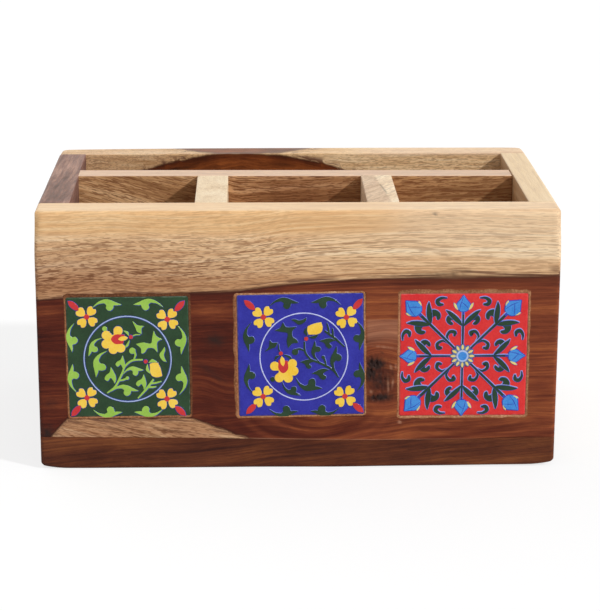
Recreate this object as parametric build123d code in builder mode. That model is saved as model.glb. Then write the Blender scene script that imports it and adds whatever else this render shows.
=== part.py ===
"""Wooden cutlery holder with three inlaid glazed tiles, built board by board.

Millimetres, +Z up. The origin is the middle of the underside, the front faces -Y.
"""
import os

from build123d import *

# Overall size
holder_width = 210.0
holder_depth = 127.0
holder_height = 108.0

# Board thicknesses
base_thickness = 12.5
front_thickness = 14.5
back_thickness = 14.0
side_thickness = 12.0
long_divider_thickness = 12.5
cross_divider_thickness = 13.0

# Wells between the boards
rear_slot_depth = 34.0
middle_well_extra = 4.75
middle_well_offset = -0.25

# Sanded outer edges
corner_radius = 2.0
rim_radius = 1.5
foot_radius = 1.6

# Glazed tiles, their adhesive and the putty round them
green_tile_size = 50.2
blue_tile_size = 51.5
red_tile_size = 52.1
green_tile_offset = -2.35
blue_tile_offset = 1.95
red_tile_offset = 1.5
green_tile_turn = 0.5
blue_tile_turn = 0.9
red_tile_turn = 0.1
tile_thickness = 6.0
tile_corner_radius = 1.0
tile_edge_radius = 0.6
tile_sill_height = 9.7
bed_thickness = 0.8
putty_width = 1.4

# Brads, sunk below the surface and stopped with filler
brad_length = 30.0
brad_wire_radius = 0.6
brad_head_radius = 0.95
brad_head_height = 0.7
brad_point_length = 2.0
brad_sink = 1.2
back_brad_margin = 16.5
divider_brad_spread = 40.0

# Countersunk screws under the base
screw_length = 30.0
screw_head_radius = 3.3
screw_shank_radius = 1.75
screw_point_length = 4.0
screw_sink = 0.4
recess_length = 3.8
recess_width = 0.8
recess_depth = 1.1

# Clearance of brads, screws and stoppings in their holes
fit_clearance = 0.05
# How far a cutter runs out past the surface it opens
cutter_run_out = 1.0

# Faces of the box
front_face_y = -holder_depth / 2
back_face_y = holder_depth / 2
front_inner_y = front_face_y + front_thickness
back_inner_y = back_face_y - back_thickness
side_outer_x = holder_width / 2
side_inner_x = side_outer_x - side_thickness
wall_height = holder_height - base_thickness
wall_mid_z = base_thickness + wall_height / 2

# Middle planes of the boards
front_mid_y = front_face_y + front_thickness / 2
back_mid_y = back_face_y - back_thickness / 2
side_mid_x = side_outer_x - side_thickness / 2
side_mid_y = (front_inner_y + back_inner_y) / 2
side_length = back_inner_y - front_inner_y

# Dividers and the wells between them
divider_back_y = back_inner_y - rear_slot_depth
divider_front_y = divider_back_y - long_divider_thickness
divider_mid_y = (divider_front_y + divider_back_y) / 2
cross_length = divider_front_y - front_inner_y
cross_mid_y = (divider_front_y + front_inner_y) / 2
outer_well_width = (2 * side_inner_x - 2 * cross_divider_thickness - middle_well_extra) / 3
cross_spread = (outer_well_width + middle_well_extra + cross_divider_thickness) / 2
left_cross_x = middle_well_offset - cross_spread
right_cross_x = middle_well_offset + cross_spread
left_well_x = (left_cross_x - cross_divider_thickness / 2 - side_inner_x) / 2
right_well_x = (right_cross_x + cross_divider_thickness / 2 + side_inner_x) / 2

# Tiles are spread evenly along the front, then set off by hand: size, place, turn in degrees
pocket_depth = tile_thickness + bed_thickness
pocket_corner_radius = tile_corner_radius + putty_width
tile_settings = {
    "green": (green_tile_size, green_tile_offset, green_tile_turn),
    "blue": (blue_tile_size, blue_tile_offset, blue_tile_turn),
    "red": (red_tile_size, red_tile_offset, red_tile_turn),
}
pockets_width = sum(size + 2 * putty_width for size, offset, turn in tile_settings.values())
tile_gap = (holder_width - pockets_width) / (len(tile_settings) + 1)
tiles = {}
pocket_start_x = tile_gap - side_outer_x
for colour, (size, offset, turn) in tile_settings.items():
    tiles[colour] = (size, pocket_start_x + putty_width + size / 2 + offset, turn)
    pocket_start_x += size + 2 * putty_width + tile_gap

# Heights of the brads: on the front below and above the tiles, elsewhere spread over the wall
tallest_tile = max(green_tile_size, blue_tile_size, red_tile_size)
sill_mid_z = base_thickness + (tile_sill_height - putty_width) / 2
lintel_z = base_thickness + tile_sill_height + tallest_tile + putty_width
lintel_mid_z = (lintel_z + holder_height) / 2
front_heights = (sill_mid_z, lintel_mid_z)
back_heights = (base_thickness + back_brad_margin, wall_mid_z, holder_height - back_brad_margin)
divider_heights = (wall_mid_z - divider_brad_spread / 2, wall_mid_z + divider_brad_spread / 2)

# Outward directions of the faces that brads are driven into
to_front = Vector(0, -1, 0)
to_back = Vector(0, 1, 0)
to_left = Vector(-1, 0, 0)
to_right = Vector(1, 0, 0)
to_floor = Vector(0, 0, -1)


def sunk_places(points, outward, sink):
    """Planes whose origin is the top of a fastener's head, sunk below the surface point."""
    return [Plane(origin=Vector(*point) - outward * sink, z_dir=outward) for point in points]


def brad_row(x, y, heights, outward):
    """Places of a row of brads, one above the other, on the face that looks outward."""
    return sunk_places([(x, y, height) for height in heights], outward, brad_sink)


front_left_places = brad_row(-side_mid_x, front_face_y, front_heights, to_front)
front_right_places = brad_row(side_mid_x, front_face_y, front_heights, to_front)
back_left_places = brad_row(-side_mid_x, back_face_y, back_heights, to_back)
back_right_places = brad_row(side_mid_x, back_face_y, back_heights, to_back)
divider_left_places = brad_row(-side_outer_x, divider_mid_y, divider_heights, to_left)
divider_right_places = brad_row(side_outer_x, divider_mid_y, divider_heights, to_right)
left_cross_front_places = brad_row(left_cross_x, front_face_y, front_heights, to_front)
right_cross_front_places = brad_row(right_cross_x, front_face_y, front_heights, to_front)
left_cross_rear_places = brad_row(left_cross_x, divider_back_y, divider_heights, to_back)
right_cross_rear_places = brad_row(right_cross_x, divider_back_y, divider_heights, to_back)

# The front screws run up in the wood behind the tile pockets
front_screw_y = front_inner_y - (front_thickness - pocket_depth) / 2
front_screw_points = [(left_well_x, front_screw_y, 0), (right_well_x, front_screw_y, 0)]
back_screw_points = [(left_well_x, back_mid_y, 0), (right_well_x, back_mid_y, 0)]
divider_screw_points = [(left_well_x, divider_mid_y, 0), (right_well_x, divider_mid_y, 0)]
front_screw_places = sunk_places(front_screw_points, to_floor, screw_sink)
back_screw_places = sunk_places(back_screw_points, to_floor, screw_sink)
divider_screw_places = sunk_places(divider_screw_points, to_floor, screw_sink)


def turned(profile):
    """A round form turned about Z from the points of its half profile."""
    with BuildPart() as form:
        with BuildSketch(Plane.XZ):
            with BuildLine():
                Polyline(*profile, close=True)
            make_face()
        revolve(axis=Axis.Z)
    return form


# One brad and the hole it fills, with the head's top at the origin and the point down
brad = turned([
    (0, 0),
    (brad_head_radius, 0),
    (brad_head_radius, -brad_head_height),
    (brad_wire_radius, -brad_head_height),
    (brad_wire_radius, brad_point_length - brad_length),
    (0, -brad_length),
])
brad_hole = turned([
    (0, brad_sink + cutter_run_out),
    (brad_head_radius + fit_clearance, brad_sink + cutter_run_out),
    (brad_head_radius + fit_clearance, -brad_head_height),
    (brad_wire_radius + fit_clearance, -brad_head_height),
    (brad_wire_radius + fit_clearance, -brad_length),
    (0, -brad_length),
])

# One screw with its cross recess, and the pilot hole for it in the boards above the base
screw_head_height = screw_head_radius - screw_shank_radius
screw_blank = turned([
    (0, 0),
    (screw_head_radius, 0),
    (screw_shank_radius, -screw_head_height),
    (screw_shank_radius, screw_point_length - screw_length),
    (0, -screw_length),
])
with BuildPart() as screw:
    add(screw_blank.part)
    for slot_angle in (0, 90):
        with Locations(Location((0, 0, 0), (0, 0, slot_angle))):
            Box(recess_length, recess_width, 2 * recess_depth, mode=Mode.SUBTRACT)
pilot_hole = turned([
    (0, 0),
    (screw_shank_radius + fit_clearance, 0),
    (screw_shank_radius + fit_clearance, -screw_length),
    (0, -screw_length),
])


def drill(hole, places):
    """Cuts one hole at each place out of the part being built."""
    with Locations(*places):
        add(hole.part, mode=Mode.SUBTRACT)


def tile_plane(size, x, turn, depth):
    """Plane of a tile that looks out of the front board, a depth below its face."""
    height = base_thickness + tile_sill_height + size / 2
    along_tile = to_right.rotate(Axis.Y, -turn)
    return Plane(origin=(x, front_face_y + depth, height), x_dir=along_tile, z_dir=to_front)


# Base board, rounded at its corners and underneath, drilled for the screws
with BuildPart() as base_board:
    with Locations((0, 0, base_thickness / 2)):
        Box(holder_width, holder_depth, base_thickness)
    fillet(base_board.edges().filter_by(Axis.Z), corner_radius)
    fillet(base_board.faces().sort_by(Axis.Z)[0].edges(), foot_radius)
    screw_points = front_screw_points + back_screw_points + divider_screw_points
    with Locations(*sunk_places(screw_points, to_floor, 0)):
        CounterSinkHole(
            radius=screw_shank_radius + fit_clearance,
            counter_sink_radius=screw_head_radius + screw_sink,
            counter_sink_angle=90,
        )

# Front board, full width, with a pocket for each tile
with BuildPart() as front_board:
    with Locations((0, front_mid_y, wall_mid_z)):
        Box(holder_width, front_thickness, wall_height)
    fillet(front_board.edges().filter_by(Axis.Z).group_by(Axis.Y)[0], corner_radius)
    fillet(front_board.faces().sort_by(Axis.Z)[-1].edges().sort_by(Axis.Y)[:-1], rim_radius)
    for size, x, turn in tiles.values():
        with BuildSketch(tile_plane(size, x, turn, -cutter_run_out)):
            pocket_size = size + 2 * putty_width
            RectangleRounded(pocket_size, pocket_size, pocket_corner_radius)
        extrude(amount=-(pocket_depth + cutter_run_out), mode=Mode.SUBTRACT)
    drill(brad_hole, front_left_places + front_right_places)
    drill(brad_hole, left_cross_front_places + right_cross_front_places)
    drill(pilot_hole, front_screw_places)

# Back board, full width
with BuildPart() as back_board:
    with Locations((0, back_mid_y, wall_mid_z)):
        Box(holder_width, back_thickness, wall_height)
    fillet(back_board.edges().filter_by(Axis.Z).group_by(Axis.Y)[-1], corner_radius)
    fillet(back_board.faces().sort_by(Axis.Z)[-1].edges().sort_by(Axis.Y)[1:], rim_radius)
    drill(brad_hole, back_left_places + back_right_places)
    drill(pilot_hole, back_screw_places)


def side_board(middle_x, outer_edge, brad_places):
    """A side board between front and back, its outer top edge rounded."""
    with BuildPart() as board:
        with Locations((middle_x, side_mid_y, wall_mid_z)):
            Box(side_thickness, side_length, wall_height)
        fillet(board.edges().filter_by(Axis.Y).group_by(Axis.Z)[-1].sort_by(Axis.X)[outer_edge], rim_radius)
        drill(brad_hole, brad_places)
    return board


left_side_board = side_board(-side_mid_x, 0, front_left_places + back_left_places + divider_left_places)
right_side_board = side_board(side_mid_x, -1, front_right_places + back_right_places + divider_right_places)

# Long divider between the sides
with BuildPart() as long_divider:
    with Locations((0, divider_mid_y, wall_mid_z)):
        Box(2 * side_inner_x, long_divider_thickness, wall_height)
    drill(brad_hole, divider_left_places + divider_right_places)
    drill(brad_hole, left_cross_rear_places + right_cross_rear_places)
    drill(pilot_hole, divider_screw_places)


def cross_divider(x, brad_places):
    """A short divider between the front board and the long divider."""
    with BuildPart() as board:
        with Locations((x, cross_mid_y, wall_mid_z)):
            Box(cross_divider_thickness, cross_length, wall_height)
        drill(brad_hole, brad_places)
    return board


left_cross_divider = cross_divider(left_cross_x, left_cross_front_places + left_cross_rear_places)
right_cross_divider = cross_divider(right_cross_x, right_cross_front_places + right_cross_rear_places)


def glazed_tile(size, x, turn):
    """A square tile, flush with the front face, its glazed edges softened."""
    with BuildPart() as tile:
        with BuildSketch(tile_plane(size, x, turn, 0)):
            RectangleRounded(size, size, tile_corner_radius)
        extrude(amount=-tile_thickness)
        fillet(tile.faces().sort_by(Axis.Y)[0].edges(), tile_edge_radius)
    return tile


def tile_bed(size, x, turn):
    """The adhesive between a tile and the floor of its pocket."""
    with BuildPart() as bed:
        with BuildSketch(tile_plane(size, x, turn, tile_thickness)):
            RectangleRounded(size, size, tile_corner_radius)
        extrude(amount=-bed_thickness)
    return bed


def tile_putty(size, x, turn):
    """The putty rim that fills a pocket round its tile, up to the front face."""
    with BuildPart() as putty:
        with BuildSketch(tile_plane(size, x, turn, 0)):
            pocket_size = size + 2 * putty_width
            RectangleRounded(pocket_size, pocket_size, pocket_corner_radius)
            RectangleRounded(size, size, tile_corner_radius, mode=Mode.SUBTRACT)
        extrude(amount=-pocket_depth)
    return putty


def fasteners(form, places):
    """A group of equal brads or screws, one at each place."""
    with BuildPart() as group:
        with Locations(*places):
            add(form.part)
    return group


def stoppings(places):
    """Filler plugs from the sunk brad heads out to the surface."""
    with BuildPart() as group:
        with Locations(*places):
            Cylinder(brad_head_radius, brad_sink, align=(Align.CENTER, Align.CENTER, Align.MIN))
    return group


pieces = {
    "base_board": base_board,
    "front_board": front_board,
    "back_board": back_board,
    "left_side_board": left_side_board,
    "right_side_board": right_side_board,
    "long_divider": long_divider,
    "left_cross_divider": left_cross_divider,
    "right_cross_divider": right_cross_divider,
    "front_left_corner_brads": fasteners(brad, front_left_places),
    "front_right_corner_brads": fasteners(brad, front_right_places),
    "back_left_corner_brads": fasteners(brad, back_left_places),
    "back_right_corner_brads": fasteners(brad, back_right_places),
    "long_divider_left_brads": fasteners(brad, divider_left_places),
    "long_divider_right_brads": fasteners(brad, divider_right_places),
    "left_cross_divider_front_brads": fasteners(brad, left_cross_front_places),
    "right_cross_divider_front_brads": fasteners(brad, right_cross_front_places),
    "left_cross_divider_rear_brads": fasteners(brad, left_cross_rear_places),
    "right_cross_divider_rear_brads": fasteners(brad, right_cross_rear_places),
    "front_board_screws": fasteners(screw, front_screw_places),
    "back_board_screws": fasteners(screw, back_screw_places),
    "long_divider_screws": fasteners(screw, divider_screw_places),
    "front_brad_stoppings": stoppings(
        front_left_places + front_right_places + left_cross_front_places + right_cross_front_places
    ),
    "back_brad_stoppings": stoppings(back_left_places + back_right_places),
    "left_side_brad_stoppings": stoppings(divider_left_places),
    "right_side_brad_stoppings": stoppings(divider_right_places),
    "long_divider_brad_stoppings": stoppings(left_cross_rear_places + right_cross_rear_places),
}
for colour, tile_place in tiles.items():
    pieces[f"{colour}_tile"] = glazed_tile(*tile_place)
    pieces[f"{colour}_tile_bed"] = tile_bed(*tile_place)
    pieces[f"{colour}_tile_putty"] = tile_putty(*tile_place)

os.makedirs("parts", exist_ok=True)
for name, piece in pieces.items():
    piece.part.label = name
    export_step(piece.part, f"parts/{name}.step")
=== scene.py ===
"""Looks of a wooden cutlery holder with three painted tiles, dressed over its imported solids."""
import cmath
import math
from collections import namedtuple

import bmesh
import bpy
from mathutils import Matrix, Vector, noise


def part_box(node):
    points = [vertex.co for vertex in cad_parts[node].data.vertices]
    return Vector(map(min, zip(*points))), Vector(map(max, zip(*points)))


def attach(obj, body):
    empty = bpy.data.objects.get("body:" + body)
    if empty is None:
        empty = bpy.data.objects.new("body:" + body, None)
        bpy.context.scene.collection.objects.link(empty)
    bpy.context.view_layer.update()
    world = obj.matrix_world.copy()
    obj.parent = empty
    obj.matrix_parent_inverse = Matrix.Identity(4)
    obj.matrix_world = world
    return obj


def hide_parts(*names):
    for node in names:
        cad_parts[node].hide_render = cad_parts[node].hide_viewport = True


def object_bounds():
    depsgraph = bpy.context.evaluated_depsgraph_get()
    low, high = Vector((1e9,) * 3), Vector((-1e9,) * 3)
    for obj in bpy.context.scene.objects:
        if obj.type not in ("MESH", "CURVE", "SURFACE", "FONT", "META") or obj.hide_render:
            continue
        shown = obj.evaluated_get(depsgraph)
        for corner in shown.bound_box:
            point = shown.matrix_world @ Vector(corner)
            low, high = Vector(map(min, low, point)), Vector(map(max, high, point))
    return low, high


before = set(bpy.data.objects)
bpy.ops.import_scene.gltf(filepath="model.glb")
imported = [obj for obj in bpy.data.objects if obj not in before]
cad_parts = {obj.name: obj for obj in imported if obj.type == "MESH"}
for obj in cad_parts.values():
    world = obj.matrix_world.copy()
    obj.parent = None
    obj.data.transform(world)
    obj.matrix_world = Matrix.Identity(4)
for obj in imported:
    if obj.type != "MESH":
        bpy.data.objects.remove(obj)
cad_low, cad_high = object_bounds()

# Lengths in this script are millimetres, and meshes are made in metres
MM = 0.001


def box_mm(node):
    """Lowest and highest corner of a CAD node."""
    low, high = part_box(node)
    return low / MM, high / MM


HOLDER_LOW = cad_low / MM
HOLDER_HIGH = cad_high / MM
HOLDER_HALF = (HOLDER_HIGH - HOLDER_LOW) / 2
FRONT_Y = HOLDER_LOW.y
BASE_TOP = box_mm("base_board")[1].z
BACK_INNER_Y = box_mm("back_board")[0].y
SIDE_INNER_X = box_mm("right_side_board")[0].x
LONG_FRONT_Y = box_mm("long_divider")[0].y


# Small sums
def limit(value):
    """The value kept between 0 and 1."""
    return min(1.0, max(0.0, value))


def rise(value, low, high):
    """A smooth step from 0 at low to 1 at high."""
    share = limit((value - low) / (high - low))
    return share * share * (3 - 2 * share)


def noise_at(x, y, z):
    return noise.noise(Vector((x, y, z)))


def line_at(x, line):
    """Height at x of a line drawn through a few points."""
    for (x0, z0), (x1, z1) in zip(line, line[1:]):
        if x <= x1:
            return z0 + (z1 - z0) * max(0.0, x - x0) / (x1 - x0)
    return line[-1][1]


def hill(x, z, middle_x, middle_z, wide, tall, turn=0.0):
    """A soft bump of height 1 at its middle, turned by degrees."""
    off = complex(x - middle_x, z - middle_z) * cmath.rect(1, -math.radians(turn))
    return math.exp(-(off.real / wide) ** 2 - (off.imag / tall) ** 2)


def strongest(x, z, marks):
    """The highest of several marks, each a hill with an amount."""
    return max(amount * hill(x, z, *place) for *place, amount in marks)


# Colours and node graphs
def tone(colour):
    """Linear colour of an 8-bit screen colour."""
    linear = []
    for level in colour:
        share = level / 255
        linear.append(share / 12.92 if share < 0.04045 else ((share + 0.055) / 1.055) ** 2.4)
    return (*linear, 1.0)


class Graph:
    """Short calls for the nodes of a material or a world."""

    def __init__(self, owner, shader="Principled BSDF"):
        owner.use_nodes = True
        self.owner = owner
        self.tree = owner.node_tree
        self.shader = self.tree.nodes[shader]

    def feed(self, socket, value):
        if isinstance(value, bpy.types.NodeSocket):
            self.tree.links.new(value, socket)
        else:
            socket.default_value = value

    def node(self, kind, *values, **settings):
        made = self.tree.nodes.new(kind)
        for name, value in settings.items():
            setattr(made, name, value)
        for socket, value in zip(made.inputs, values):
            self.feed(socket, value)
        return made

    def math(self, operation, *terms, clamp=False):
        return self.node("ShaderNodeMath", *terms, operation=operation, use_clamp=clamp).outputs[0]

    def times(self, first, second, clamp=False):
        return self.math("MULTIPLY", first, second, clamp=clamp)

    def blend(self, *parts):
        """Weighted sum of (value, weight) pairs."""
        total = 0.0
        for value, weight in parts:
            total = self.math("MULTIPLY_ADD", value, weight, total)
        return total

    def swing(self, value, reach):
        """A noise value turned into a shift to either side."""
        return self.times(self.math("SUBTRACT", value, 0.5), reach)

    def attribute(self, name):
        return self.node("ShaderNodeAttribute", attribute_name=name).outputs["Vector"]

    def millimetres(self):
        place = self.node("ShaderNodeTexCoord").outputs["Object"]
        return self.stretch(place, (1 / MM, 1 / MM, 1 / MM))

    def split(self, vector):
        return self.node("ShaderNodeSeparateXYZ", vector).outputs

    def stretch(self, vector, factors):
        return self.node("ShaderNodeVectorMath", vector, factors, operation="MULTIPLY").outputs[0]

    def noise(self, vector, factors, detail=2.0, roughness=0.5):
        place = self.stretch(vector, factors)
        return self.node("ShaderNodeTexNoise", place, 0.0, 1.0, detail, roughness).outputs[0]

    def span(self, value, low, high, to_low=0.0, to_high=1.0):
        ends = (low, high, to_low, to_high)
        return self.node("ShaderNodeMapRange", value, *ends, interpolation_type="SMOOTHSTEP").outputs[0]

    def ramp(self, value, *stops):
        """Colour ramp through (place, screen colour) stops."""
        made = self.node("ShaderNodeValToRGB", value)
        elements = made.color_ramp.elements
        while len(elements) < len(stops):
            elements.new(1.0)
        for element, (place, colour) in zip(elements, stops):
            element.position = place
            element.color = tone(colour)
        return made.outputs[0]

    def mix(self, share, first, second, kind="MIX"):
        made = self.node("ShaderNodeMix", data_type="RGBA", blend_type=kind)
        self.feed(made.inputs[0], share)
        self.feed(made.inputs[6], first)
        self.feed(made.inputs[7], second)
        return made.outputs[2]

    def bump(self, height, depth, strength):
        made = self.node("ShaderNodeBump")
        made.inputs["Strength"].default_value = strength
        made.inputs["Distance"].default_value = depth * MM
        self.feed(made.inputs["Height"], height)
        self.feed(self.shader.inputs["Normal"], made.outputs[0])

    def seen(self):
        """1 for rays from the camera, and for those that show in metal and glass."""
        path = self.node("ShaderNodeLightPath").outputs
        direct = self.math("MAXIMUM", path["Is Camera Ray"], path["Is Glossy Ray"])
        return self.math("MAXIMUM", direct, path["Is Transmission Ray"])

    def finish(self, **sockets):
        for name, value in sockets.items():
            self.feed(self.shader.inputs[name.replace("_", " ").title().replace("Ior", "IOR")], value)
        return self.owner


# Wood finish: tints that darken the wood for stain and painted shade, then colours of what lies in it
SAP_STAIN_AND_SHADE = (0.55, 0.42, 0.38, 1)
HEART_STAIN_AND_SHADE = (0.41, 0.30, 0.38, 1)
PORE_TINT = (0.5, 0.45, 0.45, 1)
CALM_TINT = (0.94, 0.86, 0.74, 1)
PORE = tone((132, 84, 52))
SMOKE = tone((112, 76, 58))
HEART_RIM = tone((50, 25, 18))
SCAR = tone((196, 142, 112))
KNOT_DARK = tone((46, 30, 26))


def wood(slot, sap, heart, pores=0.85, fresh=(246, 224, 194)):
    """Oiled two-toned hardwood. sap and heart are (deep, middle, light) screen colours.
    The mesh gives grain, in millimetres along, across and into the growth, then marks: the depth
    into the heartwood in millimetres, the share of stain and painted shade and the share of calm wood
    with few pores, and flaws: the darkness of a knot, the share of a pale scar, and of freshly sanded
    wood and painted light."""
    g = Graph(bpy.data.materials.new(slot + "_oiled"))
    grain = g.attribute("grain")
    heart_depth, stain, calm = g.split(g.attribute("marks"))
    # The last flaw is the share of freshly sanded wood and of painted light, mostly on top faces
    knot, scar, sanded = g.split(g.attribute("flaws"))
    sway = g.swing(g.noise(grain, (0.018, 0.05, 0.05)), 5.0)
    along, across, depth = g.split(grain)
    lines = g.node("ShaderNodeCombineXYZ", along, g.math("ADD", across, sway), depth).outputs[0]
    bands = g.noise(lines, (0.006, 0.13, 0.10), 3.0)
    streaks = g.noise(lines, (0.022, 0.62, 0.52), 4.0, 0.62)
    fibres = g.noise(lines, (0.05, 1.6, 1.5))
    zones = g.span(g.noise(lines, (0.02, 0.09, 0.09)), 0.36, 0.6, 0.45, 1.0)
    dashes = g.span(g.noise(lines, (0.15, 1.7, 1.6), roughness=0.55), 0.51, 0.61)
    specks = g.span(g.noise(lines, (0.32, 2.7, 2.5), 1.0), 0.53, 0.64, 0.0, 0.8)
    dashes = g.math("MAXIMUM", g.times(dashes, zones), specks)
    dashes = g.times(dashes, g.span(calm, 0.0, 1.0, 1.0, 0.3))

    shade = g.blend((bands, 0.42), (streaks, 0.40), (fibres, 0.18))
    sap_colour = g.ramp(shade, *zip((0.36, 0.5, 0.63), sap))
    sap_colour = g.mix(g.span(calm, 0.5, 1.0), sap_colour, CALM_TINT, "MULTIPLY")
    sap_colour = g.mix(g.times(dashes, pores), sap_colour, PORE)
    # Stain and painted shade darken the sapwood by their share, and the heartwood below
    sap_colour = g.mix(stain, sap_colour, SAP_STAIN_AND_SHADE, "MULTIPLY")
    blotches = g.noise(lines, (0.045, 0.11, 0.11), 3.0)
    shade = g.blend((bands, 0.30), (streaks, 0.32), (fibres, 0.14), (blotches, 0.24))
    heart_colour = g.ramp(shade, *zip((0.38, 0.5, 0.63), heart))
    heart_colour = g.mix(g.times(dashes, 0.4), heart_colour, PORE_TINT, "MULTIPLY")
    heart_colour = g.mix(stain, heart_colour, HEART_STAIN_AND_SHADE, "MULTIPLY")

    ragged = g.swing(g.noise(lines, (0.05, 0.5, 0.5), 3.0), 2.0)
    edge = g.math("ADD", heart_depth, ragged)
    sap_colour = g.mix(g.span(edge, -7.0, 0.3, 0.0, 0.22), sap_colour, tone(sap[0]))
    smoke = g.span(g.noise(lines, (0.05, 0.9, 0.8), 3.0), 0.5, 0.62)
    smoke = g.times(smoke, g.span(edge, -3.0, -0.4, 0.0, 0.95))
    sap_colour = g.mix(smoke, sap_colour, SMOKE)
    colour = g.mix(g.span(edge, -0.5, 0.7), sap_colour, heart_colour)
    rim = g.math("SUBTRACT", 1.0, g.math("ABSOLUTE", g.math("SUBTRACT", edge, 0.4)), clamp=True)
    colour = g.mix(g.times(rim, 0.6), colour, HEART_RIM)
    scar = g.times(scar, g.span(streaks, 0.3, 0.65, 0.45, 1.15), clamp=True)
    colour = g.mix(scar, colour, SCAR)
    colour = g.mix(knot, colour, KNOT_DARK)
    # Pale where freshly sanded, and painted light where the light falls on the tops
    colour = g.mix(sanded, colour, tone(fresh))

    g.bump(g.blend((fibres, 0.5), (streaks, 0.35), (dashes, -0.45)), 0.16, 0.6)
    rough = g.span(fibres, 0.3, 0.7, 0.46, 0.6)
    return g.finish(base_color=colour, roughness=rough, specular_ior_level=0.12)


# Woods by material slot: sapwood, heartwood, pore strength, and colour where freshly sanded and painted lit
SAP = ((214, 166, 120), (245, 207, 161), (255, 231, 194))
HEART = ((84, 37, 25), (130, 65, 40), (178, 102, 57))
BACK_SAP = ((196, 152, 102), (242, 205, 156), (255, 230, 188))
BACK_HEART = ((76, 39, 18), (124, 64, 29), (168, 92, 43))
LEFT_HEART = ((74, 46, 40), (134, 98, 86), (200, 158, 138))
RIGHT_SAP = ((198, 162, 116), (230, 200, 154), (244, 218, 178))
LONG_SAP = ((138, 94, 58), (206, 158, 109), (244, 202, 152))
LEFT_CROSS_SAP = ((214, 184, 144), (240, 216, 180), (250, 232, 200))
RIGHT_CROSS_SAP = ((216, 182, 148), (250, 226, 191), (255, 240, 212))
BASE_HEART = ((66, 33, 25), (107, 58, 36), (144, 86, 48))
PINK = (238, 210, 186)
WOODS = {
    "front_wood": (SAP, HEART),
    "back_wood": (BACK_SAP, BACK_HEART, 0.75, PINK),
    "left_side_wood": (SAP, LEFT_HEART),
    "right_side_wood": (RIGHT_SAP, HEART, 0.1),
    "long_divider_wood": (LONG_SAP, HEART, 0.9, PINK),
    "left_cross_wood": (LEFT_CROSS_SAP, HEART, 0.4),
    "right_cross_wood": (RIGHT_CROSS_SAP, HEART, 0.55),
    "base_wood": (SAP, BASE_HEART),
}
woods = {slot: wood(slot, *look) for slot, look in WOODS.items()}


# Mesh helpers
def make_mesh(name, points, faces, materials, face_materials=None, sharp=38):
    """A smooth-shaded object from points in millimetres."""
    mesh = bpy.data.meshes.new(name)
    mesh.from_pydata([Vector(point) * MM for point in points], [], faces)
    for material in materials:
        mesh.materials.append(material)
    if face_materials:
        mesh.polygons.foreach_set("material_index", face_materials)
    mesh.polygons.foreach_set("use_smooth", [True] * len(faces))
    mesh.set_sharp_from_angle(angle=math.radians(sharp))
    piece = bpy.data.objects.new(name, mesh)
    bpy.context.scene.collection.objects.link(piece)
    return piece


def set_field(piece, name, values):
    """Writes a vector at each point of a mesh, from one flat list."""
    layer = piece.data.attributes.new(name, "FLOAT_VECTOR", "POINT")
    layer.data.foreach_set("vector", values)


def dress(piece, slot, *nodes):
    """Ties a piece to the holder's one body, and hides the nodes it stands for. slot is not used."""
    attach(piece, "root")
    if nodes:
        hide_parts(*nodes)


def skin(points, rings, looped=False):
    """Faces over rings of spots, which are added to points: capped at both ends, or looped."""
    numbered = []
    for ring in rings:
        numbered.append(list(range(len(points), len(points) + len(ring))))
        points.extend(ring)
    faces = []
    for lower, upper in zip(numbered, numbered[1:] + numbered[:1] if looped else numbered[1:]):
        faces += zip(lower, lower[1:] + lower[:1], upper[1:] + upper[:1], upper)
    return faces if looped else faces + [numbered[0][::-1], numbered[-1]]


def disc(centre, radius, count=20):
    return [centre + cmath.rect(radius, math.tau * i / count) for i in range(count)]


EDGE_CUTS = (0.0, 0.12, 0.3, 0.6, 1.1, 1.8, 2.7, 4.0)
GRID_STEP = 2.6
EASED_EDGE = 0.35


def cuts(low, high, extra=(), step=GRID_STEP):
    """Grid lines from low to high: an even step between, and close lines at both ends."""
    reach = EDGE_CUTS[-1]
    lines = {low + cut for cut in EDGE_CUTS} | {high - cut for cut in EDGE_CUTS}
    count = max(1, round((high - low - 2 * reach) / step))
    lines |= {low + reach + (high - low - 2 * reach) * i / count for i in range(count + 1)}
    return sorted({round(line, 3) for line in lines | set(extra)})


def block(*lines):
    """Points and outward faces of a box's surface, cut along lines on its three axes."""
    index = {}
    faces = []
    for axis in range(3):
        first, second = (axis + 1) % 3, (axis + 2) % 3
        for end in (0, len(lines[axis]) - 1):
            for i in range(len(lines[first]) - 1):
                for j in range(len(lines[second]) - 1):
                    quad = []
                    for step_i, step_j in ((0, 0), (1, 0), (1, 1), (0, 1)):
                        key = [end, end, end]
                        key[first] = i + step_i
                        key[second] = j + step_j
                        quad.append(index.setdefault(tuple(key), len(index)))
                    faces.append(quad if end else quad[::-1])
    points = [Vector(line[i] for line, i in zip(lines, key)) for key in index]
    return points, faces


def ease(point, low, high, radius):
    """Pulls a point of a box's surface in, so that the box's edges are rounded."""
    core = Vector(min(max(p, a + radius), b - radius) for p, a, b in zip(point, low, high))
    away = point - core
    if away.length > radius:
        return core + away.normalized() * radius
    return point


def solids(node):
    """Lowest and highest corner of each separate solid in a CAD node."""
    merged = bmesh.new()
    merged.from_mesh(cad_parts[node].data)
    bmesh.ops.remove_doubles(merged, verts=merged.verts, dist=0.001 * MM)
    boxes = []
    for seed in merged.verts:
        if seed.tag:
            continue
        seed.tag = True
        found = [seed]
        for vertex in found:
            for edge in vertex.link_edges:
                other = edge.other_vert(vertex)
                if not other.tag:
                    other.tag = True
                    found.append(other)
        axes = list(zip(*(vertex.co / MM for vertex in found)))
        boxes.append((Vector(map(min, axes)), Vector(map(max, axes))))
    merged.free()
    return boxes


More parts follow.
